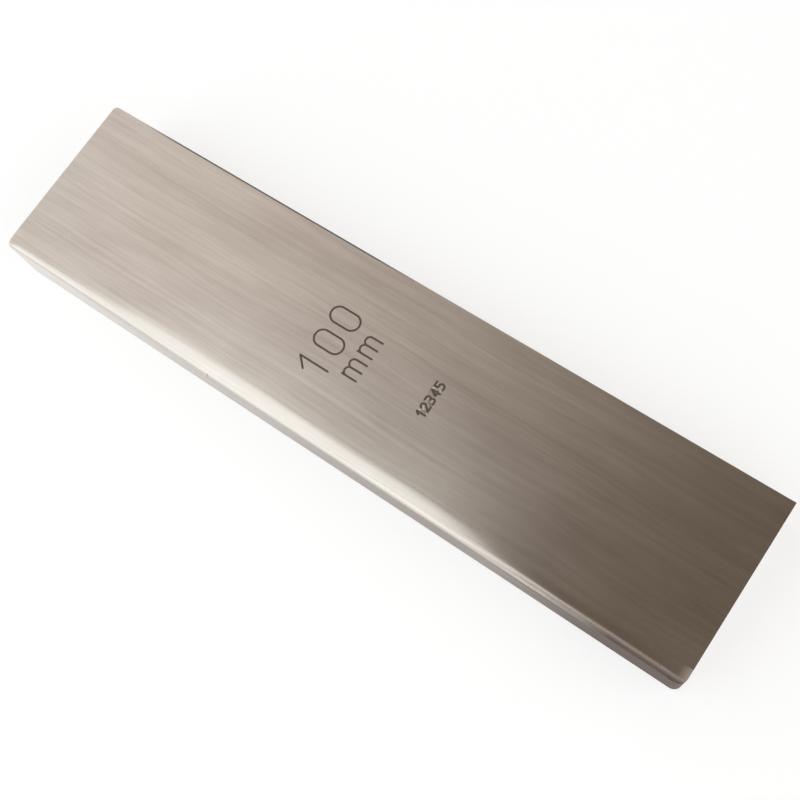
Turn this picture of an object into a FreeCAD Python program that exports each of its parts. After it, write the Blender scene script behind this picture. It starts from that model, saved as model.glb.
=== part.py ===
import FreeCAD, Part
import math
import os
from enum import IntEnum

import Sketcher

# A rectangular steel gauge block, lying on its wide face. It is one solid piece of steel: a flat bar
# whose two small end faces are lapped flat and parallel, and whose length between them is the size.
#
# Frame: +X runs along the length, from one measuring face to the other. +Y runs across the marked
# face. +Z is up. The origin is at the centre of the underside. All sizes are in millimetres.
#
# The long edge at -Y of the marked face is dressed over: a wide gentle roll leaves the face, and a
# tight nose carries it round into the side. Every other edge is broken by a fine chamfer. Two upright
# corners, diagonally opposite, are worn round.

NODE = "gauge_block"

# Alias in the sheet, value, and what it is.
SIZES = [
    ("length", 100.0, "between the two measuring faces"),
    ("width", 23.5, "across the marked face"),
    ("thickness", 9.0, "from the underside to the marked face"),
    ("roll_width", 2.2, "from the side to where the dressed edge leaves the marked face"),
    ("roll_radius", 12.0, "gentle arc of the dressed edge"),
    ("nose_radius", 0.9, "tight arc that carries the dressed edge into the side"),
    ("fine_chamfer", 0.2, "leg of the chamfer on every other edge"),
    ("near_corner_round", 1.0, "worn upright corner at +X and -Y"),
    ("far_corner_round", 0.6, "worn upright corner at -X and +Y"),
]

# How far a corner cut reaches outside the block, so that no two faces lie on each other.
CUT_MARGIN = 1.0

# A length below which two places count as the same one.
SAME = 1e-4


class Point(IntEnum):
    """Points of a piece of sketch geometry, as the sketcher numbers them."""

    START = 1
    END = 2
    CENTRE = 3


class Axis(IntEnum):
    """A sketch's own axes, as the sketcher numbers them. X starts at the origin."""

    X = -1
    Y = -2


START = Point.START
END = Point.END
CENTRE = Point.CENTRE
ORIGIN = (Axis.X, START)


def make_sheet(doc):
    sheet = doc.addObject("Spreadsheet::Sheet", "Sizes")
    for row, (alias, value, meaning) in enumerate(SIZES, start=1):
        sheet.set(f"A{row}", alias)
        sheet.set(f"B{row}", str(value))
        sheet.set(f"C{row}", meaning)
        sheet.setAlias(f"B{row}", alias)
    doc.recompute()
    return sheet


def new_sketch(body, name, role):
    """Start a sketch on the body's own origin plane of that role."""
    planes = {feature.Role: feature for feature in body.Origin.OriginFeatures}
    sketch = body.newObject("Sketcher::SketchObject", name)
    sketch.AttachmentSupport = [(planes[role], "")]
    sketch.MapMode = "FlatFace"
    return sketch


def add_line(sketch, start, end):
    line = Part.LineSegment(FreeCAD.Vector(*start, 0), FreeCAD.Vector(*end, 0))
    return sketch.addGeometry(line)


def add_arc(sketch, centre, radius, start_angle, end_angle):
    circle = Part.Circle(FreeCAD.Vector(*centre, 0), FreeCAD.Vector(0, 0, 1), radius)
    return sketch.addGeometry(Part.ArcOfCircle(circle, start_angle, end_angle))


def constrain(sketch, kind, *places):
    return sketch.addConstraint(Sketcher.Constraint(kind, *places))


def drive(sketch, kind, places, value, name, expression):
    """Add a dimension at its present value, name it and tie it to the sheet."""
    index = constrain(sketch, kind, *places, value)
    sketch.renameConstraint(index, name)
    sketch.setExpression(f"Constraints.{name}", expression)


def draw_section(body, sheet):
    """The cross-section, in a sketch whose x is the block's Y and whose y is its Z."""
    half = sheet.width / 2
    top = sheet.thickness
    roll = sheet.roll_radius
    nose = sheet.nose_radius

    # The nose touches the side, the roll touches the marked face, and the two arcs touch each other.
    roll_y = sheet.roll_width - half
    nose_y = nose - half
    between = roll - nose
    lean = math.asin((roll_y - nose_y) / between)
    nose_z = top - roll + between * math.cos(lean)
    upright = math.pi / 2

    sketch = new_sketch(body, "section", "YZ_Plane")
    face = add_line(sketch, (roll_y, top), (half, top))
    back = add_line(sketch, (half, top), (half, 0))
    underside = add_line(sketch, (half, 0), (-half, 0))
    front = add_line(sketch, (-half, 0), (-half, nose_z))
    nose_arc = add_arc(sketch, (nose_y, nose_z), nose, upright + lean, math.pi)
    roll_arc = add_arc(sketch, (roll_y, top - roll), roll, upright, upright + lean)

    constrain(sketch, "Coincident", face, END, back, START)
    constrain(sketch, "Coincident", back, END, underside, START)
    constrain(sketch, "Coincident", underside, END, front, START)
    constrain(sketch, "Tangent", front, END, nose_arc, END)
    constrain(sketch, "Tangent", nose_arc, START, roll_arc, END)
    constrain(sketch, "Tangent", roll_arc, START, face, START)
    constrain(sketch, "Horizontal", face)
    constrain(sketch, "Vertical", back)
    constrain(sketch, "Vertical", front)
    constrain(sketch, "PointOnObject", underside, START, Axis.X)
    constrain(sketch, "Symmetric", underside, START, underside, END, Axis.Y)

    dimensions = [
        ("DistanceX", (underside, END, underside, START), "width"),
        ("DistanceY", (back, END, back, START), "thickness"),
        ("DistanceX", (front, END, face, START), "roll_width"),
        ("Radius", (roll_arc,), "roll_radius"),
        ("Radius", (nose_arc,), "nose_radius"),
    ]
    for kind, places, alias in dimensions:
        drive(sketch, kind, places, getattr(sheet, alias), alias, f"Sizes.{alias}")
    return sketch


def pad_section(doc, body, section):
    bar = body.newObject("PartDesign::Pad", "bar")
    bar.Profile = section
    bar.Midplane = True
    bar.setExpression("Length", "Sizes.length")
    doc.recompute()
    return bar


def chamfer_edges(doc, body, bar, sheet):
    """Break every sharp edge: all those of the measuring faces, and the three square long ones."""
    sharp = []
    for number, edge in enumerate(bar.Shape.Edges, start=1):
        box = edge.BoundBox
        on_measuring_face = box.XLength < SAME
        on_back = box.YMin > sheet.width / 2 - SAME
        on_underside = box.ZMax < SAME
        if on_measuring_face or on_back or on_underside:
            sharp.append(f"Edge{number}")
    chamfer = body.newObject("PartDesign::Chamfer", "fine_chamfers")
    chamfer.Base = (bar, sharp)
    chamfer.setExpression("Size", "Sizes.fine_chamfer")
    doc.recompute()
    return chamfer


def wear_corner(doc, body, sheet, name, x_side):
    """Cut one upright corner to an arc that touches the side and the measuring face.

    The worn corners are at +X -Y and at -X +Y. Going anticlockwise round the block, each of their
    arcs starts on the side and ends on the measuring face.
    """
    y_side = -x_side
    alias = f"{name}_round"
    radius = getattr(sheet, alias)
    corner_x = x_side * sheet.length / 2
    corner_y = y_side * sheet.width / 2
    outer_x = corner_x + x_side * CUT_MARGIN
    outer_y = corner_y + y_side * CUT_MARGIN
    centre_x = corner_x - x_side * radius
    centre_y = corner_y - y_side * radius
    quarter = math.pi / 2
    first_angle = y_side * quarter

    sketch = new_sketch(body, f"{name}_outline", "XY_Plane")
    arc = add_arc(sketch, (centre_x, centre_y), radius, first_angle, first_angle + quarter)
    off_end = add_line(sketch, (corner_x, centre_y), (outer_x, centre_y))
    along_end = add_line(sketch, (outer_x, centre_y), (outer_x, outer_y))
    along_side = add_line(sketch, (outer_x, outer_y), (centre_x, outer_y))
    off_side = add_line(sketch, (centre_x, outer_y), (centre_x, corner_y))

    outline = [arc, off_end, along_end, along_side, off_side]
    for piece, following in zip(outline, outline[1:] + outline[:1]):
        constrain(sketch, "Coincident", piece, END, following, START)
    constrain(sketch, "Horizontal", off_end)
    constrain(sketch, "Horizontal", along_side)
    constrain(sketch, "Vertical", along_end)
    constrain(sketch, "Vertical", off_side)
    constrain(sketch, "Vertical", arc, CENTRE, arc, START)
    constrain(sketch, "Horizontal", arc, CENTRE, arc, END)
    constrain(sketch, "DistanceX", off_end, START, off_end, END, x_side * CUT_MARGIN)
    constrain(sketch, "DistanceY", off_side, END, off_side, START, y_side * CUT_MARGIN)

    to_end = f"{x_side} * Sizes.length / 2"
    to_side = f"{y_side} * Sizes.width / 2"
    drive(sketch, "DistanceX", (*ORIGIN, arc, END), corner_x, "to_end", to_end)
    drive(sketch, "DistanceY", (*ORIGIN, arc, START), corner_y, "to_side", to_side)
    drive(sketch, "Radius", (arc,), radius, "round", f"Sizes.{alias}")

    before = body.Shape.Volume
    cut = body.newObject("PartDesign::Pocket", name)
    cut.Profile = sketch
    cut.Type = "ThroughAll"
    cut.Reversed = True
    doc.recompute()
    if before - cut.Shape.Volume < SAME:
        raise RuntimeError(f"{name} cut nothing")


def check(doc, body):
    for item in doc.Objects:
        if "Invalid" in item.State or "Error" in item.State:
            raise RuntimeError(f"{item.Name} is {item.State}")
    shape = body.Shape
    if shape.isNull() or not shape.isValid() or len(shape.Solids) != 1:
        raise RuntimeError(f"{body.Label} is not one valid solid")


def build():
    doc = FreeCAD.newDocument("gauge_block_model")
    sheet = make_sheet(doc)
    body = doc.addObject("PartDesign::Body", NODE)
    body.Label = NODE
    body.Placement = FreeCAD.Placement(FreeCAD.Vector(0, 0, 0), FreeCAD.Rotation())
    bar = pad_section(doc, body, draw_section(body, sheet))
    chamfer_edges(doc, body, bar, sheet)
    wear_corner(doc, body, sheet, "near_corner", 1)
    wear_corner(doc, body, sheet, "far_corner", -1)
    check(doc, body)
    os.makedirs("parts", exist_ok=True)
    body.Shape.exportStep(f"parts/{body.Label}.step")
    box = body.Shape.BoundBox
    print(f"{body.Label}: {box.XLength:.3f} x {box.YLength:.3f} x {box.ZLength:.3f} mm")
    print(f"volume {body.Shape.Volume:.2f} mm3, {len(body.Shape.Faces)} faces")


build()
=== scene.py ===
"""Looks of the gauge block, in metres, in the same frame as its CAD part.

The block lies on its wide face. +X runs along its length, +Y across the marked face, +Z up.
The long edge at -Y is dressed over: a gentle roll leaves the marked face, and a tight nose
carries it round into the side.
"""

import math

import bmesh
import bpy
from mathutils import Matrix, Vector, noise


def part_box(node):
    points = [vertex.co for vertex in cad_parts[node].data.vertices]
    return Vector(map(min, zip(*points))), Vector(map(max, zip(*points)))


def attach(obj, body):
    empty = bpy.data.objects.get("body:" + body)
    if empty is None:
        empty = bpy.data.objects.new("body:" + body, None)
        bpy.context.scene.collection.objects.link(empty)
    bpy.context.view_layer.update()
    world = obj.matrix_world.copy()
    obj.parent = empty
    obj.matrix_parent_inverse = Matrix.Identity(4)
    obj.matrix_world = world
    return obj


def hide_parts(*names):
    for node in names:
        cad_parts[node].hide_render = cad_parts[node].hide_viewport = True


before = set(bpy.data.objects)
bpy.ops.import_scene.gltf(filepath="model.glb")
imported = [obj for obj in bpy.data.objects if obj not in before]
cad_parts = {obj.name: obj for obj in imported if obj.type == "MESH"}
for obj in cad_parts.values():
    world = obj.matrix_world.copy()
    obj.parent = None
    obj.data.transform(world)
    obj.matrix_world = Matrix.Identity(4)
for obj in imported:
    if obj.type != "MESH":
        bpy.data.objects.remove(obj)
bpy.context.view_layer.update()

MM = 0.001

# How near is the same place: for a cut, for merging a clean shape, and for merging cut marks.
CUT_TOLERANCE = 1e-9
MERGE_TOLERANCE = 1e-7
MARK_TOLERANCE = 2e-7
TUBE_TOLERANCE = 1e-8

# The block, as its CAD node has it.
BLOCK_LOW, BLOCK_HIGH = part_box("gauge_block")
TOP = BLOCK_HIGH.z
ROLL_WIDTH = 2.2 * MM
ROLL_RADIUS = 12.0 * MM
NOSE_RADIUS = 0.9 * MM
FINE_EDGE = 0.2 * MM
NEAR_CORNER_ROUND = 1.0 * MM
FAR_CORNER_ROUND = 0.6 * MM

# The camera looks down on the marked face, turned about its own axis.
CAMERA_AIM = Vector((6.43, -1.74, 9.0)) * MM
CAMERA_DISTANCE = 134.86 * MM
CAMERA_AZIMUTH = math.radians(60.3)
CAMERA_ELEVATION = math.radians(70.02)
CAMERA_ROLL = math.radians(-26.8)
CAMERA_LENS = 51.66


# ---------------------------------------------------------------- small helpers


def finish_object(bm, name, materials=()):
    """Turn a bmesh into a linked object whose place is all in its mesh."""
    mesh = bpy.data.meshes.new(name)
    bm.to_mesh(mesh)
    bm.free()
    for material in materials:
        mesh.materials.append(material)
    obj = bpy.data.objects.new(name, mesh)
    bpy.context.scene.collection.objects.link(obj)
    return obj


def apply_modifiers(obj):
    """Put what the modifiers give into the object's own mesh."""
    graph = bpy.context.evaluated_depsgraph_get()
    mesh = bpy.data.meshes.new_from_object(obj.evaluated_get(graph))
    obj.modifiers.clear()
    obj.data = mesh


# ---------------------------------------------------------------- node helpers


def feed(tree, socket, value):
    """Link a socket to another one, or set its constant."""
    if isinstance(value, bpy.types.NodeSocket):
        tree.links.new(value, socket)
    else:
        socket.default_value = value


def add(tree, kind, settings=None, **inputs):
    node = tree.nodes.new(kind)
    for key, value in (settings or {}).items():
        setattr(node, key, value)
    for key, value in inputs.items():
        feed(tree, node.inputs[key.replace("_", " ")], value)
    return node


def calculate(tree, operation, first, second=0.0, clamp=False):
    node = add(tree, "ShaderNodeMath", {"operation": operation, "use_clamp": clamp})
    feed(tree, node.inputs[0], first)
    feed(tree, node.inputs[1], second)
    return node.outputs["Value"]


def remap(tree, value, start, stop, first=0.0, last=1.0, curve="SMOOTHSTEP"):
    """Carry a value from the range start..stop to the range first..last."""
    node = add(tree, "ShaderNodeMapRange", {"interpolation_type": curve}, Value=value)
    ends = {"From Min": start, "From Max": stop, "To Min": first, "To Max": last}
    for name, end in ends.items():
        feed(tree, node.inputs[name], end)
    return node.outputs["Result"]


def blend(tree, share, first, second):
    node = add(tree, "ShaderNodeMix", {"data_type": "RGBA"})
    feed(tree, node.inputs["Factor"], share)
    colours = [socket for socket in node.inputs if socket.type == "RGBA"]
    feed(tree, colours[0], first)
    feed(tree, colours[1], second)
    return next(socket for socket in node.outputs if socket.type == "RGBA")


def object_place(tree):
    return add(tree, "ShaderNodeTexCoord").outputs["Object"]


def stretched_noise(tree, place, sizes, detail, roughness, shift=(0.0, 0.0, 0.0)):
    """Noise in blotches of the given sizes, in metres, along X, Y and Z."""
    scales = [1 / size for size in sizes]
    mapping = add(tree, "ShaderNodeMapping", Vector=place, Scale=scales, Location=shift)
    texture = add(tree, "ShaderNodeTexNoise", Vector=mapping.outputs["Vector"], Scale=1.0)
    texture.inputs["Detail"].default_value = detail
    texture.inputs["Roughness"].default_value = roughness
    return texture.outputs["Fac"]


def new_group(name, inputs, outputs):
    """An empty node group, given as its tree, its input node and its output node."""
    tree = bpy.data.node_groups.new(name, "ShaderNodeTree")
    for socket, kind in inputs:
        tree.interface.new_socket(socket, in_out="INPUT", socket_type=kind)
    for socket, kind in outputs:
        tree.interface.new_socket(socket, in_out="OUTPUT", socket_type=kind)
    return tree, tree.nodes.new("NodeGroupInput"), tree.nodes.new("NodeGroupOutput")


def place_group(tree, group, **inputs):
    return add(tree, "ShaderNodeGroup", {"node_tree": group}, **inputs)


def new_material(name):
    material = bpy.data.materials.new(name)
    material.use_nodes = True
    material.node_tree.nodes.clear()
    return material


def show_surface(tree, shader):
    out = add(tree, "ShaderNodeOutputMaterial")
    tree.links.new(shader.outputs[0], out.inputs["Surface"])


# ---------------------------------------------------------------- effects that the finishes share

FLOAT = "NodeSocketFloat"
VECTOR = "NodeSocketVector"


# The blotches of each noise along X, Y and Z.
DRIFT_SIZES = (22 * MM, 7 * MM, 7 * MM)
HAIRLINE_SIZES = (7 * MM, 0.12 * MM, 0.12 * MM)
STREAK_SIZES = (17 * MM, 0.40 * MM, 0.40 * MM)
BAND_SIZES = (45 * MM, 1.3 * MM, 1.3 * MM)
SMEAR_SIZES = (14 * MM, 5 * MM, 5 * MM)
SPECK_SIZES = (1.1 * MM, 0.8 * MM, 0.8 * MM)
PATCH_SIZES = (16 * MM, 1.6 * MM, 1.6 * MM)
GRIT_SIZES = (0.12 * MM,) * 3

# How far the brushing strays sideways, and the share of each pattern in its lines.
BRUSH_DRIFT = 1.6 * MM
HAIRLINE_SHARE = 0.32
STREAK_SHARE = 0.37
BAND_SHARE = 0.31


def drifting_place(tree, place):
    """The place, shifted a little along Y so that the brushing isn't ruled straight."""
    drift = stretched_noise(tree, place, DRIFT_SIZES, 2.0, 0.5)
    drift = calculate(tree, "MULTIPLY", calculate(tree, "SUBTRACT", drift, 0.5), BRUSH_DRIFT)
    sideways = add(tree, "ShaderNodeCombineXYZ", Y=drift).outputs["Vector"]
    shifted = add(tree, "ShaderNodeVectorMath", {"operation": "ADD"})
    tree.links.new(place, shifted.inputs[0])
    tree.links.new(sideways, shifted.inputs[1])
    return shifted.outputs["Vector"]


def brushing_group():
    """Lines left by brushing along X: hair lines, streaks and broad bands, each about 0.5."""
    tree, given, result = new_group(
        "brushing", [("Place", VECTOR)], [("Hairlines", FLOAT), ("Streaks", FLOAT), ("Bands", FLOAT)]
    )
    place = drifting_place(tree, given.outputs["Place"])
    hair = stretched_noise(tree, place, HAIRLINE_SIZES, 3.0, 0.6)
    streaks = stretched_noise(tree, place, STREAK_SIZES, 2.0, 0.5, (3, 7, 1))
    bands = stretched_noise(tree, place, BAND_SIZES, 2.0, 0.5, (8, 2, 5))
    tree.links.new(hair, result.inputs["Hairlines"])
    tree.links.new(streaks, result.inputs["Streaks"])
    tree.links.new(bands, result.inputs["Bands"])
    return tree


def handling_group():
    """Cloudy smears left by hands and oil, about 0.5, and small scuffs, 0 where there is none."""
    tree, given, result = new_group(
        "handling", [("Place", VECTOR)], [("Smears", FLOAT), ("Scuffs", FLOAT)]
    )
    place = given.outputs["Place"]
    smears = stretched_noise(tree, place, SMEAR_SIZES, 3.0, 0.55, (4, 1, 6))
    specks = stretched_noise(tree, place, SPECK_SIZES, 3.0, 0.6, (2, 9, 3))
    scuffs = remap(tree, specks, 0.68, 0.78)
    tree.links.new(smears, result.inputs["Smears"])
    tree.links.new(scuffs, result.inputs["Scuffs"])
    return tree


# Where the stain and painted shade thicken along X, first thinly and then fully, and how far patches
# shift that.
THIN_STAIN_AND_SHADE = (-45 * MM, 17 * MM, 0.0, 0.6)
THICK_STAIN_AND_SHADE = (26 * MM, 40 * MM, 0.0, 0.4)
PATCH_REACH = 18 * MM


def stain_and_shade_group():
    """Brown stain with painted shade on the -Y side, thickening towards +X, from 0 where clean to 1
    where full: the patches stand for stain, and the steady darkening towards +X is painted shade.
    """
    tree, given, result = new_group("stain_and_painted_shade", [("Place", VECTOR)], [("Stain and shade", FLOAT)])
    place = given.outputs["Place"]
    along = add(tree, "ShaderNodeSeparateXYZ", Vector=place).outputs["X"]
    patches = stretched_noise(tree, place, PATCH_SIZES, 3.0, 0.6, (5, 5, 2))
    patches = calculate(tree, "MULTIPLY", calculate(tree, "SUBTRACT", patches, 0.5), PATCH_REACH)
    reach = calculate(tree, "ADD", along, patches)
    thin = remap(tree, reach, *THIN_STAIN_AND_SHADE, "LINEAR")
    thick = remap(tree, reach, *THICK_STAIN_AND_SHADE, "LINEAR")
    stain_and_shade = calculate(tree, "ADD", thin, thick)
    tree.links.new(stain_and_shade, result.inputs["Stain and shade"])
    return tree


class Finish:
    """The numbers of one steel finish: colours, gloss, lines, relief and how one-way it is."""

    def __init__(self, light, dark, rough, contrast, relief, directional):
        self.light = (*light, 1.0)
        self.dark = (*dark, 1.0)
        self.rough = rough
        self.contrast = contrast
        self.relief = relief
        self.directional = directional


MARKED_FACE = Finish((0.720, 0.650, 0.582), (0.450, 0.394, 0.344), 0.21, 1.55, 1.0e-6, 0.5)
GROUND_SIDE = Finish((0.800, 0.745, 0.690), (0.500, 0.450, 0.400), 0.24, 1.2, 2.0e-6, 0.4)
LAPPED_END = Finish((0.720, 0.680, 0.630), (0.600, 0.560, 0.510), 0.10, 0.4, 2.0e-7, 0.2)

DRESSED_ROUGHNESS = 0.17
# Brown of the stain and painted shade on the -Y side and the nose.
STAIN_AND_SHADE_COLOUR = (0.138, 0.099, 0.077, 1.0)
STAIN_AND_SHADE_ROUGHNESS = 0.5
BARE_SCUFF = (0.80, 0.76, 0.70, 1.0)
SCUFF_STRENGTH = 0.25

# Painted shade: a dark line painted along part of the +Y fine edge. Its colour, how strong it is, and
# where it starts and ends.
EDGE_SHADE_COLOUR = (0.075, 0.075, 0.070, 1.0)
EDGE_SHADE_STRENGTH = 0.85
EDGE_SHADE_START = (-46 * MM, -38 * MM)
EDGE_SHADE_END = (2 * MM, -8 * MM)

# A steel's shade runs from 0, its dark colour, to 1, its light one, about this middle.
MIDDLE_SHADE = 0.55
SMEAR_SHADE = 0.55

# On the marked face, the lines are weaker towards the +X end and on the dressed edge.
SMOOTH_END = (22 * MM, 44 * MM)
SMOOTH_END_SHARE = 0.8
DRESSED_SHARE = 0.4
SMEAR_GLOSS = 0.06
PLAIN_SMEAR_GLOSS = 0.08

# The stain and painted shade climb onto the nose only where they are heavy, and make the nose duller.
HEAVY_STAIN_AND_SHADE = 0.76
NOSE_STAIN_AND_SHADE_TOP = 0.90 * MM
NOSE_STAIN_AND_SHADE_FULL = 0.15 * MM
STAIN_AND_SHADE_ROUGHENS = 0.3

# Single lines left on the face: where they start and end along X, at which Y there, half their
# width, and how much lighter or darker they are. Lengths are in millimetres.
SCORES = [
    (-50.0, -15.0, 0.0, 1.0, 0.45, 0.10),
    (-49.0, -24.0, -4.9, -4.1, 0.18, 0.10),
    (-38.0, -21.0, 5.6, 5.3, 0.14, 0.12),
    (10.0, 31.0, 2.15, 2.2, 0.10, 0.16),
    (-2.0, 19.0, -5.0, -5.05, 0.12, 0.14),
    (-14.0, 6.0, -1.9, -1.7, 0.09, 0.10),
    (2.0, 18.0, -7.3, -7.6, 0.16, -0.14),
    (-4.0, 0.5, 5.2, 5.2, 0.12, -0.16),
    (-30.0, -12.0, -8.3, -8.1, 0.12, -0.10),
]
SCORE_FADE = 4 * MM


def score_lines(tree, spot):
    """How much the scores lighten or darken the face, 0 where there is none."""
    total = 0.0
    for start, end, start_y, end_y, half_width, tone in SCORES:
        centre = remap(tree, spot["X"], start * MM, end * MM, start_y * MM, end_y * MM, "LINEAR")
        away = calculate(tree, "ABSOLUTE", calculate(tree, "SUBTRACT", spot["Y"], centre))
        line = remap(tree, away, half_width * MM, 0.0, 0.0, tone)
        begun = remap(tree, spot["X"], start * MM, start * MM + SCORE_FADE)
        left = remap(tree, spot["X"], end * MM, end * MM - SCORE_FADE)
        line = calculate(tree, "MULTIPLY", line, calculate(tree, "MULTIPLY", begun, left))
        total = calculate(tree, "ADD", total, line)
    return total


def steel_parts(name, groups):
    """A steel material with its place, its centred brushing pattern and its handling nodes."""
    material = new_material(name)
    tree = material.node_tree
    place = object_place(tree)
    brushing = place_group(tree, groups["brushing"], Place=place).outputs
    handling = place_group(tree, groups["handling"], Place=place).outputs
    lines = calculate(tree, "MULTIPLY", brushing["Hairlines"], HAIRLINE_SHARE)
    for pattern, share in (("Streaks", STREAK_SHARE), ("Bands", BAND_SHARE)):
        lines = calculate(tree, "ADD", lines, calculate(tree, "MULTIPLY", brushing[pattern], share))
    lines = calculate(tree, "SUBTRACT", lines, 0.5)
    return material, place, lines, handling


def steel_shader(tree, finish, lines, **looks):
    """Metal whose gloss spreads across the brushing, which runs along the brush map's U."""
    relief = add(tree, "ShaderNodeBump", Strength=1.0, Distance=finish.relief, Height=lines)
    tangent = add(tree, "ShaderNodeTangent", {"direction_type": "UV_MAP", "uv_map": "brush"})
    looks.setdefault("Metallic", 1.0)
    shader = add(
        tree,
        "ShaderNodeBsdfPrincipled",
        Anisotropic=finish.directional,
        Anisotropic_Rotation=0.25,
        Specular_IOR_Level=0.15,
        Normal=relief.outputs["Normal"],
        Tangent=tangent.outputs["Tangent"],
        **looks,
    )
    show_surface(tree, shader)


def shaded_steel(tree, finish, lines, strength, smear, scores=0.0):
    """The finish's colour, between its dark and its light, by brushing, smears and scores."""
    shade = calculate(tree, "MULTIPLY", lines, strength)
    shade = calculate(tree, "ADD", shade, calculate(tree, "MULTIPLY", smear, SMEAR_SHADE))
    shade = calculate(tree, "ADD", shade, scores)
    shade = calculate(tree, "ADD", shade, MIDDLE_SHADE, clamp=True)
    return blend(tree, shade, finish.dark, finish.light)


def painted_edge_shade(tree, spot):
    """Painted shade, a dark line on the fine edge at +Y, from 0 where there is none."""
    fine = BLOCK_HIGH.y - 1.2 * FINE_EDGE, BLOCK_HIGH.y - 0.8 * FINE_EDGE
    on_edge = remap(tree, spot["Y"], *fine)
    begun = remap(tree, spot["X"], *EDGE_SHADE_START)
    edge_shade = calculate(tree, "MULTIPLY", begun, remap(tree, spot["X"], *EDGE_SHADE_END))
    return calculate(tree, "MULTIPLY", calculate(tree, "MULTIPLY", edge_shade, on_edge), EDGE_SHADE_STRENGTH)


def nose_stain_and_shade(tree, spot, place, groups):
    """The side's heavy stain and painted shade, where they climb onto the nose of the dressed edge."""
    side = BLOCK_LOW.y
    stain_and_shade = place_group(tree, groups["stain_and_painted_shade"], Place=place).outputs["Stain and shade"]
    nose = remap(tree, spot["Y"], side + NOSE_STAIN_AND_SHADE_TOP, side + NOSE_STAIN_AND_SHADE_FULL)
    heavy = remap(tree, stain_and_shade, HEAVY_STAIN_AND_SHADE, 1.0, curve="LINEAR")
    return calculate(tree, "MULTIPLY", heavy, nose)


def marked_face_material(groups):
    """The brushed face and its dressed edge, which is smoother and carries fewer lines."""
    finish = MARKED_FACE
    material, place, lines, handling = steel_parts("marked_face_steel", groups)
    tree = material.node_tree
    spot = add(tree, "ShaderNodeSeparateXYZ", Vector=place).outputs
    side = BLOCK_LOW.y
    dressed = remap(tree, spot["Y"], side + ROLL_WIDTH, side + 0.5 * ROLL_WIDTH)
    weak = finish.contrast * SMOOTH_END_SHARE
    strength = remap(tree, spot["X"], *SMOOTH_END, finish.contrast, weak)
    fewer = remap(tree, dressed, 0.0, 1.0, 1.0, DRESSED_SHARE)
    strength = calculate(tree, "MULTIPLY", strength, fewer)
    smear = calculate(tree, "SUBTRACT", handling["Smears"], 0.5)
    colour = shaded_steel(tree, finish, lines, strength, smear, score_lines(tree, spot))
    scuff = calculate(tree, "MULTIPLY", handling["Scuffs"], SCUFF_STRENGTH)
    colour = blend(tree, scuff, colour, BARE_SCUFF)
    # A dark line of painted shade along part of the +Y fine edge, which also makes that edge less
    # metallic.
    edge_shade = painted_edge_shade(tree, spot)
    colour = blend(tree, edge_shade, colour, EDGE_SHADE_COLOUR)
    # Stain and painted shade darken the nose towards +X.
    stain_and_shade = nose_stain_and_shade(tree, spot, place, groups)
    colour = blend(tree, stain_and_shade, colour, STAIN_AND_SHADE_COLOUR)
    rough = remap(tree, dressed, 0.0, 1.0, finish.rough, DRESSED_ROUGHNESS)
    rough = calculate(tree, "ADD", rough, calculate(tree, "MULTIPLY", smear, SMEAR_GLOSS))
    rough = calculate(tree, "ADD", rough, calculate(tree, "MULTIPLY", stain_and_shade, STAIN_AND_SHADE_ROUGHENS))
    metallic = calculate(tree, "SUBTRACT", 1.0, stain_and_shade)
    metallic = calculate(tree, "MULTIPLY", metallic, calculate(tree, "SUBTRACT", 1.0, edge_shade))
    steel_shader(tree, finish, lines, Base_Color=colour, Roughness=rough, Metallic=metallic)
    return material


def stained_and_shaded_side_material(groups):
    """The -Y side, bright at the -X end and brown towards the +X end, from stain and painted shade."""
    finish = GROUND_SIDE
    material, place, lines, handling = steel_parts("stained_and_shaded_side_steel", groups)
    tree = material.node_tree
    smear = calculate(tree, "SUBTRACT", handling["Smears"], 0.5)
    colour = shaded_steel(tree, finish, lines, finish.contrast, smear)
    # Stain and painted shade darken the side towards +X.
    stain_and_shade = place_group(tree, groups["stain_and_painted_shade"], Place=place).outputs["Stain and shade"]
    colour = blend(tree, stain_and_shade, colour, STAIN_AND_SHADE_COLOUR)
    rough = remap(tree, stain_and_shade, 0.0, 1.0, finish.rough, STAIN_AND_SHADE_ROUGHNESS)
    metallic = calculate(tree, "SUBTRACT", 1.0, stain_and_shade)
    steel_shader(tree, finish, lines, Base_Color=colour, Roughness=rough, Metallic=metallic)
    return material


def plain_steel_material(name, finish, groups):
    """Clean steel with one finish all over."""
    material, place, lines, handling = steel_parts(name, groups)
    tree = material.node_tree
    smear = calculate(tree, "SUBTRACT", handling["Smears"], 0.5)
    colour = shaded_steel(tree, finish, lines, finish.contrast, smear)
    rough = calculate(tree, "ADD", calculate(tree, "MULTIPLY", smear, PLAIN_SMEAR_GLOSS), finish.rough)
    steel_shader(tree, finish, lines, Base_Color=colour, Roughness=rough)
    return material


MARK_DARK = (0.062, 0.043, 0.031, 1)
MARK_LIGHT = (0.135, 0.100, 0.076, 1)


def etched_mark_material():
    """The matt brown floor and walls of the etched strokes."""
    material = new_material("etched_mark")
    tree = material.node_tree
    grit = stretched_noise(tree, object_place(tree), GRIT_SIZES, 2.0, 0.5)
    colour = blend(tree, grit, MARK_DARK, MARK_LIGHT)
    rough = remap(tree, grit, 0.3, 0.7, 0.45, 0.7)
    relief = add(tree, "ShaderNodeBump", Strength=0.6, Distance=6e-6, Height=grit)
    shader = add(
        tree,
        "ShaderNodeBsdfPrincipled",
        Base_Color=colour,
        Roughness=rough,
        Normal=relief.outputs["Normal"],
    )
    show_surface(tree, shader)
    return material


# ---------------------------------------------------------------- the block's body

ROLL_STEPS = 14
NOSE_STEPS = 14


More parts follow.
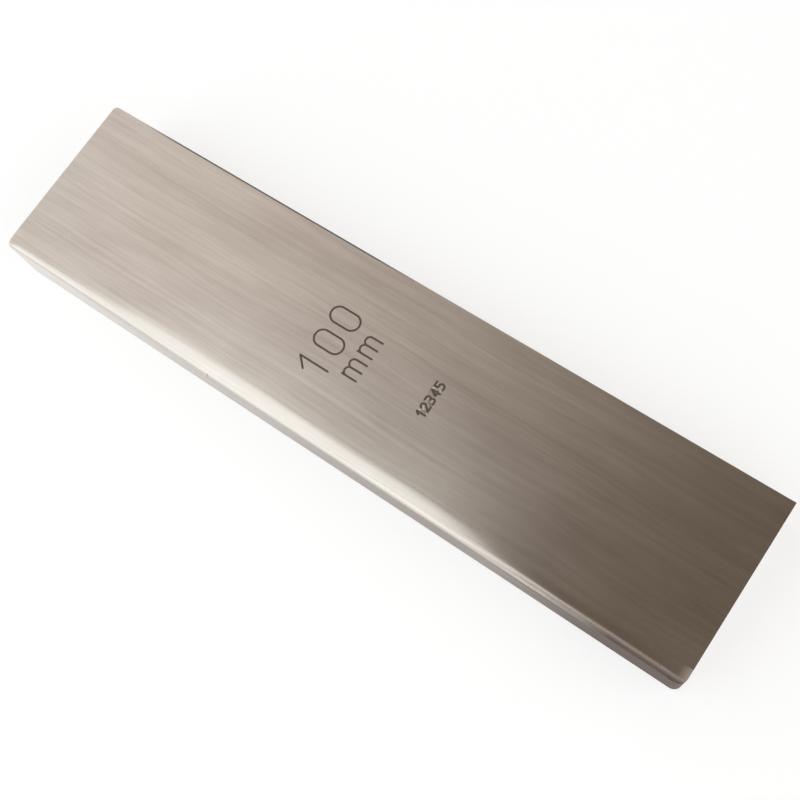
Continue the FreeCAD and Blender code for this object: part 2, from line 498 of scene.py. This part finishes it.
def trim(bm, point, outward):
    """Cut off what lies outside a plane, and close the cut with one face."""
    geometry = bm.verts[:] + bm.edges[:] + bm.faces[:]
    cut = bmesh.ops.bisect_plane(
        bm, geom=geometry, plane_co=point, plane_no=outward, clear_outer=True, dist=CUT_TOLERANCE
    )
    rim = [e for e in cut["geom_cut"] if isinstance(e, bmesh.types.BMEdge) and e.is_boundary]
    if rim:
        bmesh.ops.contextual_create(bm, geom=rim)


def dress_long_edge(bm):
    """Round the -Y edge of the marked face: facets of the roll, then of the nose."""
    roll_y = BLOCK_LOW.y + ROLL_WIDTH
    nose_y = BLOCK_LOW.y + NOSE_RADIUS
    between = ROLL_RADIUS - NOSE_RADIUS
    lean = math.asin((roll_y - nose_y) / between)
    nose_z = TOP - ROLL_RADIUS + between * math.cos(lean)
    arcs = [
        (roll_y, TOP - ROLL_RADIUS, ROLL_RADIUS, 0.0, lean, ROLL_STEPS),
        (nose_y, nose_z, NOSE_RADIUS, lean, math.pi / 2, NOSE_STEPS),
    ]
    for centre_y, centre_z, radius, start, end, steps in arcs:
        for step in range(steps):
            angle = start + (end - start) * (step + 0.5) / steps
            outward = Vector((0, -math.sin(angle), math.cos(angle)))
            trim(bm, Vector((0, centre_y, centre_z)) + radius * outward, outward)


def upright_edge(bm, x, y):
    for edge in bm.edges:
        if all((v.co.xy - Vector((x, y))).length < MERGE_TOLERANCE for v in edge.verts):
            return edge
    raise RuntimeError("the block has no such upright corner")


def block_body():
    """The bar: a box with two worn upright corners, the dressed edge and fine edges elsewhere."""
    bm = bmesh.new()
    bmesh.ops.create_cube(bm, size=1.0)
    bmesh.ops.scale(bm, vec=BLOCK_HIGH - BLOCK_LOW, verts=bm.verts)
    bmesh.ops.translate(bm, vec=(BLOCK_HIGH + BLOCK_LOW) / 2, verts=bm.verts)
    worn = [
        (BLOCK_HIGH.x, BLOCK_LOW.y, NEAR_CORNER_ROUND),
        (BLOCK_LOW.x, BLOCK_HIGH.y, FAR_CORNER_ROUND),
    ]
    for x, y, radius in worn:
        bmesh.ops.bevel(
            bm, geom=[upright_edge(bm, x, y)], offset=radius, segments=8,
            profile=0.5, affect="EDGES", material=-1,
        )
    dress_long_edge(bm)
    bmesh.ops.remove_doubles(bm, verts=bm.verts, dist=MERGE_TOLERANCE)
    bmesh.ops.recalc_face_normals(bm, faces=bm.faces)
    sharp = [e for e in bm.edges if e.is_manifold and e.calc_face_angle() > math.radians(40)]
    bmesh.ops.bevel(
        bm, geom=sharp, offset=FINE_EDGE, segments=3, profile=0.5, affect="EDGES",
        clamp_overlap=True, material=-1,
    )
    return bm


EDGE_STEPS = 80

# The waves of the dressed edge: their length along X and how much more or less it drops.
SLOW_WAVE = (16 * MM, 0.22)
QUICK_WAVE = (5 * MM, 0.06)


def wave_dressed_edge(bm):
    """Cross cuts along the length, then a hand-dressed edge that drops a little more or less."""
    for step in range(1, EDGE_STEPS):
        x = BLOCK_LOW.x + (BLOCK_HIGH.x - BLOCK_LOW.x) * step / EDGE_STEPS
        geometry = bm.verts[:] + bm.edges[:] + bm.faces[:]
        bmesh.ops.bisect_plane(
            bm, geom=geometry, plane_co=(x, 0, 0), plane_no=(1, 0, 0), dist=CUT_TOLERANCE
        )
    roll_y = BLOCK_LOW.y + ROLL_WIDTH
    slow_length, slow_drop = SLOW_WAVE
    quick_length, quick_drop = QUICK_WAVE
    for vert in bm.verts:
        if vert.co.y < roll_y and vert.co.z > TOP - 2 * MM:
            drop = TOP - vert.co.z
            slow = noise.noise(Vector((vert.co.x / slow_length, 4.2, 0)))
            quick = noise.noise(Vector((vert.co.x / quick_length, 9.7, 0)))
            vert.co.z = TOP - drop * (1 + slow_drop * slow + quick_drop * quick)


# ---------------------------------------------------------------- the etched marks

MARK_DEPTH = 0.045 * MM
SIZE_STROKE = 0.28 * MM
NUMBER_STROKE = 0.29 * MM


def arc_points(centre, radius, start, end, steps=12):
    """Points on an arc, in degrees anticlockwise from the reading direction."""
    points = []
    for step in range(steps + 1):
        angle = math.radians(start + (end - start) * step / steps)
        points.append((centre[0] + radius * math.cos(angle), centre[1] + radius * math.sin(angle)))
    return points


def glyph_one(width, height):
    flag = [(0.0, height * 0.69), (width, height)]
    stem = [(width, height), (width, 0.0)]
    return [(flag, False), (stem, False)]


def glyph_zero(width, height):
    r = width / 2
    ring = arc_points((r, height - r), r, 0, 180) + arc_points((r, r), r, 180, 360)
    return [(ring, True)]


def glyph_m(width, height):
    r = width / 4
    first = [(0.0, 0.0), (0.0, height)]
    arch = arc_points((r, height - r), r, 150, 0) + [(2 * r, 0.0)]
    second = arc_points((3 * r, height - r), r, 150, 0) + [(4 * r, 0.0)]
    return [(first, False), (arch, False), (second, False)]


def glyph_two(width, height):
    r = width / 2
    bowl = arc_points((r, height - r), r, 170, -35)
    return [(bowl + [(0.0, 0.0)], False), ([(0.0, 0.0), (width, 0.0)], False)]


def glyph_three(width, height):
    r = height / 4
    upper = arc_points((width - r, height - r), r, 90, -90)
    lower = arc_points((width - r, r), r, 90, -90)
    return [([(0.0, height)] + upper + [(width - r - 0.1 * r, 2 * r)], False),
            (lower + [(0.0, 0.0)], False)]


def glyph_four(width, height):
    stem_u = width * 0.75
    bar_v = height * 0.28
    stem = [(stem_u, 0.0), (stem_u, height)]
    slope = [(stem_u, height), (0.0, bar_v)]
    bar = [(0.0, bar_v), (width, bar_v)]
    return [(stem, False), (slope, False), (bar, False)]


def glyph_five(width, height):
    r = height * 0.29
    flag = [(0.0, height), (width * 0.95, height)]
    stem = [(0.0, height), (0.0, 2 * r)]
    bowl = [(0.0, 2 * r)] + arc_points((width - r, r), r, 90, -90) + [(0.0, 0.0)]
    return [(flag, False), (stem, False), (bowl, False)]


# Leans, in degrees, at which a tube's round end is drawn.
END_LEANS = (30, 55, 75)


def round_end(tip, outward, radius):
    """Places and shares of the radius that carry a tube past its tip, the nearest first."""
    leans = [math.radians(lean) for lean in END_LEANS]
    return [(tip + outward * (radius * math.sin(lean)), math.cos(lean)) for lean in leans]


def stroke_curve(name, points, closed, width):
    """A curve as thick as cuts a stroke of that width, its lowest line MARK_DEPTH deep."""
    half = width / 2
    radius = (MARK_DEPTH + half * half / MARK_DEPTH) / 2
    curve = bpy.data.curves.new(name, "CURVE")
    curve.dimensions = "3D"
    curve.bevel_depth = radius
    curve.bevel_resolution = 6
    curve.use_fill_caps = True
    height = TOP + radius - MARK_DEPTH
    line = [(Vector((-v, u, height)), 1.0) for u, v in points]
    if not closed:
        tips = line[0][0], line[-1][0]
        backward = (tips[0] - line[1][0]).normalized()
        forward = (tips[1] - line[-2][0]).normalized()
        line = round_end(tips[0], backward, radius)[::-1] + line
        line += round_end(tips[1], forward, radius)
    spline = curve.splines.new("POLY")
    spline.points.add(len(line) - 1)
    for point, (place, share) in zip(spline.points, line):
        point.co = (*place, 1)
        point.radius = share
    spline.use_cyclic_u = closed
    return curve


def stroke_tube(name, points, closed, width, material):
    """A round-ended tube that cuts one stroke of that width into the marked face."""
    obj = bpy.data.objects.new(name, stroke_curve(name, points, closed, width))
    bpy.context.scene.collection.objects.link(obj)
    graph = bpy.context.evaluated_depsgraph_get()
    mesh = bpy.data.meshes.new_from_object(obj.evaluated_get(graph))
    bpy.data.objects.remove(obj)
    bm = bmesh.new()
    bm.from_mesh(mesh)
    bmesh.ops.remove_doubles(bm, verts=bm.verts, dist=TUBE_TOLERANCE)
    bmesh.ops.recalc_face_normals(bm, faces=bm.faces)
    return finish_object(bm, name, [material])


# The size mark: each letter, its lower left corner along and across the reading, and its size.
SIZE_MARK = [
    (glyph_one, -4.72, 3.05, 1.25, 4.15),
    (glyph_zero, -1.37, 3.08, 2.17, 4.14),
    (glyph_zero, 2.12, 3.12, 2.17, 4.13),
    (glyph_m, -2.67, -0.62, 2.29, 2.09),
    (glyph_m, 0.62, -0.62, 2.33, 2.09),
]

# The small number, in millimetres: where it starts, and the digits' pitch, widths and height.
NUMBER = [glyph_one, glyph_two, glyph_three, glyph_four, glyph_five]
NUMBER_START = (-2.2, -10.05)
DIGIT_PITCH = 1.03
DIGIT_WIDTH = 0.62
ONE_WIDTH = 0.3
DIGIT_HEIGHT = 1.17


def mark_strokes():
    """Every stroke of the marks: its points in metres, (along reading, up the letter)."""
    rows = []

    def put(glyph, u, v, width, height, stroke):
        for points, closed in glyph(width * MM, height * MM):
            rows.append(([(p + u * MM, q + v * MM) for p, q in points], closed, stroke))

    for letter in SIZE_MARK:
        put(*letter, SIZE_STROKE)
    first_u, row_v = NUMBER_START
    for place, glyph in enumerate(NUMBER):
        width = ONE_WIDTH if glyph is glyph_one else DIGIT_WIDTH
        start = first_u + place * DIGIT_PITCH + (DIGIT_WIDTH - width) / 2
        put(glyph, start, row_v, width, DIGIT_HEIGHT, NUMBER_STROKE)
    return rows


# Knocks on the dressed edge: the middle and the reach along X, Y and Z of what struck it, in mm.
KNOCKS = [
    ((-15.80, -11.80, 8.25), (0.14, 0.32, 0.50)),
    ((48.55, -11.85, 8.30), (0.50, 0.35, 0.40)),
    ((47.50, -11.88, 7.95), (0.30, 0.25, 0.35)),
]


def knock(name, middle, reach, material):
    """An egg-shaped body that cuts one knock."""
    bm = bmesh.new()
    bmesh.ops.create_icosphere(bm, subdivisions=3, radius=1.0)
    bmesh.ops.scale(bm, vec=Vector(reach) * MM, verts=bm.verts)
    bmesh.ops.translate(bm, vec=Vector(middle) * MM, verts=bm.verts)
    return finish_object(bm, name, [material])


def cut_marks(block, mark, steel):
    """Cut the marks and the knocks into the block, each leaving its own finish."""
    tools = [
        stroke_tube(f"stroke_{number}", points, closed, stroke, mark)
        for number, (points, closed, stroke) in enumerate(mark_strokes())
    ]
    tools += [
        knock(f"knock_{number}", middle, reach, steel)
        for number, (middle, reach) in enumerate(KNOCKS)
    ]
    cutters = bpy.data.collections.new("mark_cutters")
    bpy.context.scene.collection.children.link(cutters)
    for tool in tools:
        bpy.context.scene.collection.objects.unlink(tool)
        cutters.objects.link(tool)
    cut = block.modifiers.new("marks", "BOOLEAN")
    cut.operation = "DIFFERENCE"
    cut.operand_type = "COLLECTION"
    cut.collection = cutters
    cut.solver = "EXACT"
    cut.material_mode = "TRANSFER"
    bpy.context.view_layer.update()
    apply_modifiers(block)
    for tool in tools:
        bpy.data.objects.remove(tool)
    bpy.data.collections.remove(cutters)


# ---------------------------------------------------------------- putting the block together

FACE, SIDE, BACK, LAPPED, MARK = range(5)

# How far a face has to point an end's way, the side's way and upwards to belong there.
END_WARD = 0.97
SIDE_WARD = 0.985
UPWARD = 0.12
END_MAP_WARD = 0.75


def assign_finishes(bm):
    """Give each face of the block its finish, by where it points."""
    worn_y = BLOCK_LOW.y + NEAR_CORNER_ROUND
    for face in bm.faces:
        if face.material_index == MARK:
            continue
        normal = face.normal
        middle = face.calc_center_median()
        if abs(normal.x) > END_WARD:
            face.material_index = LAPPED
        elif normal.y < -SIDE_WARD or (middle.y < worn_y and abs(normal.z) < UPWARD):
            face.material_index = SIDE
        elif normal.z > UPWARD:
            face.material_index = FACE
        else:
            face.material_index = BACK


def lay_brush_map(bm):
    """UV map whose U runs along the brushing."""
    layer = bm.loops.layers.uv.new("brush")
    for face in bm.faces:
        across = -1.0 if face.calc_center_median().y > 0 else 1.0
        on_end = abs(face.normal.x) > END_MAP_WARD
        for loop in face.loops:
            x, y, z = loop.vert.co / (100 * MM)
            loop[layer].uv = (y, z) if on_end else (x, y + across * z)


SHARP_EDGE = math.radians(25)


def gauge_block():
    """The dressed block, which stands for the CAD node."""
    groups = {
        "brushing": brushing_group(),
        "handling": handling_group(),
        "stain_and_painted_shade": stain_and_shade_group(),
    }
    mark = etched_mark_material()
    finishes = [
        marked_face_material(groups),
        stained_and_shaded_side_material(groups),
        plain_steel_material("ground_back_steel", GROUND_SIDE, groups),
        plain_steel_material("lapped_end_steel", LAPPED_END, groups),
        mark,
    ]
    bm = block_body()
    wave_dressed_edge(bm)
    block = finish_object(bm, "gauge_block_body", finishes)
    cut_marks(block, mark, finishes[FACE])

    bm = bmesh.new()
    bm.from_mesh(block.data)
    bmesh.ops.remove_doubles(bm, verts=bm.verts, dist=MARK_TOLERANCE)
    bmesh.ops.dissolve_degenerate(bm, edges=bm.edges, dist=MARK_TOLERANCE)
    assign_finishes(bm)
    lay_brush_map(bm)
    for face in bm.faces:
        face.smooth = True
    bm.to_mesh(block.data)
    bm.free()
    block.data.set_sharp_from_angle(angle=SHARP_EDGE)
    weighted = block.modifiers.new("even_normals", "WEIGHTED_NORMAL")
    weighted.keep_sharp = True
    weighted.weight = 100
    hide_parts("gauge_block")
    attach(block, "root")
    return block


# ---------------------------------------------------------------- floor, lights and camera


# Where a fanned card's lines of equal colour run straight across, and how far along Y it fans.
FAN_CENTRE = (-0.35, 0.153)
FAN_REACH = 0.09


def card(name, corners, stops, strength, fan=0.0):
    """A flat glowing card for the steel to mirror. Its colour runs along X through the stops.

    With a fan, the lines of equal colour spread like one on either side of FAN_CENTRE.
    """
    bm = bmesh.new()
    verts = [bm.verts.new(corner) for corner in corners]
    bmesh.ops.contextual_create(bm, geom=verts)
    material = new_material(name)
    tree = material.node_tree
    spot = add(tree, "ShaderNodeSeparateXYZ", Vector=object_place(tree)).outputs
    first, last = stops[0][0], stops[-1][0]
    near, far = FAN_CENTRE[1] - FAN_REACH, FAN_CENTRE[1] + FAN_REACH
    level = remap(tree, spot["Y"], near, far, -FAN_REACH, FAN_REACH, "LINEAR")
    spread = calculate(tree, "SUBTRACT", spot["X"], FAN_CENTRE[0])
    turned = calculate(tree, "MULTIPLY", calculate(tree, "MULTIPLY", level, spread), fan)
    along = calculate(tree, "SUBTRACT", spot["X"], turned)
    along = remap(tree, along, first, last, curve="LINEAR")
    ramp = add(tree, "ShaderNodeValToRGB", Fac=along)
    points = ramp.color_ramp.elements
    while len(points) < len(stops):
        points.new(0.5)
    for point, (x, colour) in zip(points, stops):
        point.position = (x - first) / (last - first)
        point.color = (*colour, 1)
    glow = add(tree, "ShaderNodeEmission", Color=ramp.outputs["Color"], Strength=strength)
    show_surface(tree, glow)
    obj = finish_object(bm, name, [material])
    obj.visible_camera = False
    return obj


FLOOR_COLOUR = (0.50, 0.50, 0.50, 1)
FLOOR_GLOW = 0.62
FLOOR_REACH = 8.0
FLOOR_GAP = 0.02 * MM


def floor():
    """Pale floor. What looks at it sees it white, and it keeps the block's shadow."""
    bm = bmesh.new()
    bmesh.ops.create_grid(bm, x_segments=1, y_segments=1, size=FLOOR_REACH)
    bmesh.ops.translate(bm, vec=(0, 0, -FLOOR_GAP), verts=bm.verts)
    material = new_material("pale_floor")
    tree = material.node_tree
    path = add(tree, "ShaderNodeLightPath").outputs
    seen = calculate(tree, "MAXIMUM", path["Is Camera Ray"], path["Is Glossy Ray"])
    seen = calculate(tree, "MAXIMUM", seen, path["Is Transmission Ray"])
    glow_strength = calculate(tree, "MULTIPLY", seen, FLOOR_GLOW)
    paper = add(tree, "ShaderNodeBsdfDiffuse", Color=FLOOR_COLOUR)
    glow = add(tree, "ShaderNodeEmission", Color=(1, 1, 1, 1), Strength=glow_strength)
    both = add(tree, "ShaderNodeAddShader")
    tree.links.new(paper.outputs["BSDF"], both.inputs[0])
    tree.links.new(glow.outputs["Emission"], both.inputs[1])
    show_surface(tree, both)
    finish_object(bm, "floor", [material])


def level_corners(height, corners):
    """Corners of a level card at that height, given as shares of the height."""
    return [(x * height, y * height, height) for x, y in corners]


def wall_corners(y, x_range, z_range):
    (x0, x1), (z0, z1) = x_range, z_range
    return [(x0, y, z0), (x1, y, z0), (x1, y, z1), (x0, y, z1)]


WHITE = (1.0, 1.0, 1.0)
WINDOW = (0.90, 0.965, 1.0)
WINDOW_DIM = (0.80, 0.87, 0.89)
PAPER = (0.62, 0.62, 0.62)
BROWN = (0.30, 0.25, 0.22)
GREY = (0.14, 0.13, 0.12)
SIDE_END = (0.50, 0.50, 0.50)

# The card overhead: bright over the -X end, dark brown over the +X end, and bright again beyond.
OVERHEAD = [
    (-0.90, (0.88, 0.88, 0.88)),
    (-0.60, (0.86, 0.84, 0.83)),
    (-0.47, (0.76, 0.71, 0.69)),
    (-0.296, (0.485, 0.435, 0.405)),
    (-0.116, (0.275, 0.238, 0.212)),
    (-0.02, (0.158, 0.128, 0.103)),
    (0.12, (0.150, 0.120, 0.096)),
    (0.60, (0.70, 0.67, 0.64)),
]
OVERHEAD_LEVEL = 1.1
OVERHEAD_FAN = 2.4
WINDOW_LEVEL = 1.72
TABLE_LEVEL = 1.55
WORLD_LEVEL = 1.25

# The bright table top beside the block, only mirrored: it lights and shades nothing.
TABLE_HEIGHT = 0.0003
TABLE_X = (-0.9, 0.0249)
TABLE_Y = (-0.03, -0.78)


def table_card():
    (x0, x1), (y0, y1) = TABLE_X, TABLE_Y
    corners = [(x, y, TABLE_HEIGHT) for x, y in ((x0, y0), (x1, y0), (x1, y1), (x0, y1))]
    stops = [(-0.05, WINDOW), (-0.012, WINDOW), (0.025, PAPER)]
    table = card("low_card", corners, stops, TABLE_LEVEL)
    table.visible_diffuse = False
    table.visible_shadow = False


def studio():
    """The world, the cards and the floor. None of them is part of the block."""
    world = bpy.data.worlds.new("studio")
    bpy.context.scene.world = world
    world.use_nodes = True
    background = world.node_tree.nodes["Background"]
    background.inputs["Color"].default_value = (1, 1, 1, 1)
    background.inputs["Strength"].default_value = WORLD_LEVEL

    overhead = level_corners(0.8, [(-1.4, -0.75), (0.9, -0.75), (0.9, 1.0), (-1.4, 1.0)])
    card("overhead_card", overhead, OVERHEAD, OVERHEAD_LEVEL, fan=OVERHEAD_FAN)
    window = level_corners(0.7, [(-0.56, 0.09), (-1.0, -0.70), (0.0, -0.70), (-0.17, 0.06)])
    fading = [(-0.30, WINDOW), (-0.14, WINDOW_DIM), (0.0, BROWN)]
    card("window_card", window, fading, WINDOW_LEVEL)
    wall = wall_corners(-1.0, (-1.5, -0.05), (0.02, 1.2))
    daylight = [(-1.3, SIDE_END), (-0.95, WINDOW), (-0.2, WINDOW), (-0.05, BROWN)]
    card("side_card", wall, daylight, WINDOW_LEVEL)
    flag = wall_corners(-1.0, (-0.05, 1.2), (0.02, 1.2))
    card("brown_flag", flag, [(0.0, BROWN), (0.25, BROWN), (0.9, WHITE)], 1.0)
    back = wall_corners(1.2, (-1.5, 1.2), (0.05, 1.5))
    card("back_flag", back, [(-1.5, GREY), (0.4, GREY), (1.2, WHITE)], 1.0)
    table_card()
    floor()


def camera():
    """The camera, from its aim, distance and three turns."""
    data = bpy.data.cameras.new("camera")
    data.lens = CAMERA_LENS
    data.sensor_width = 36.0
    data.clip_start = 0.005
    obj = bpy.data.objects.new("camera", data)
    turn = (
        Matrix.Rotation(CAMERA_AZIMUTH, 4, "Z")
        @ Matrix.Rotation(math.pi / 2 - CAMERA_ELEVATION, 4, "X")
        @ Matrix.Rotation(CAMERA_ROLL, 4, "Z")
    )
    back = turn.to_3x3() @ Vector((0, 0, 1))
    obj.matrix_world = Matrix.Translation(CAMERA_AIM + CAMERA_DISTANCE * back) @ turn
    bpy.context.scene.collection.objects.link(obj)
    bpy.context.scene.camera = obj


gauge_block()
studio()
camera()
bpy.context.scene.view_settings.view_transform = "Standard"
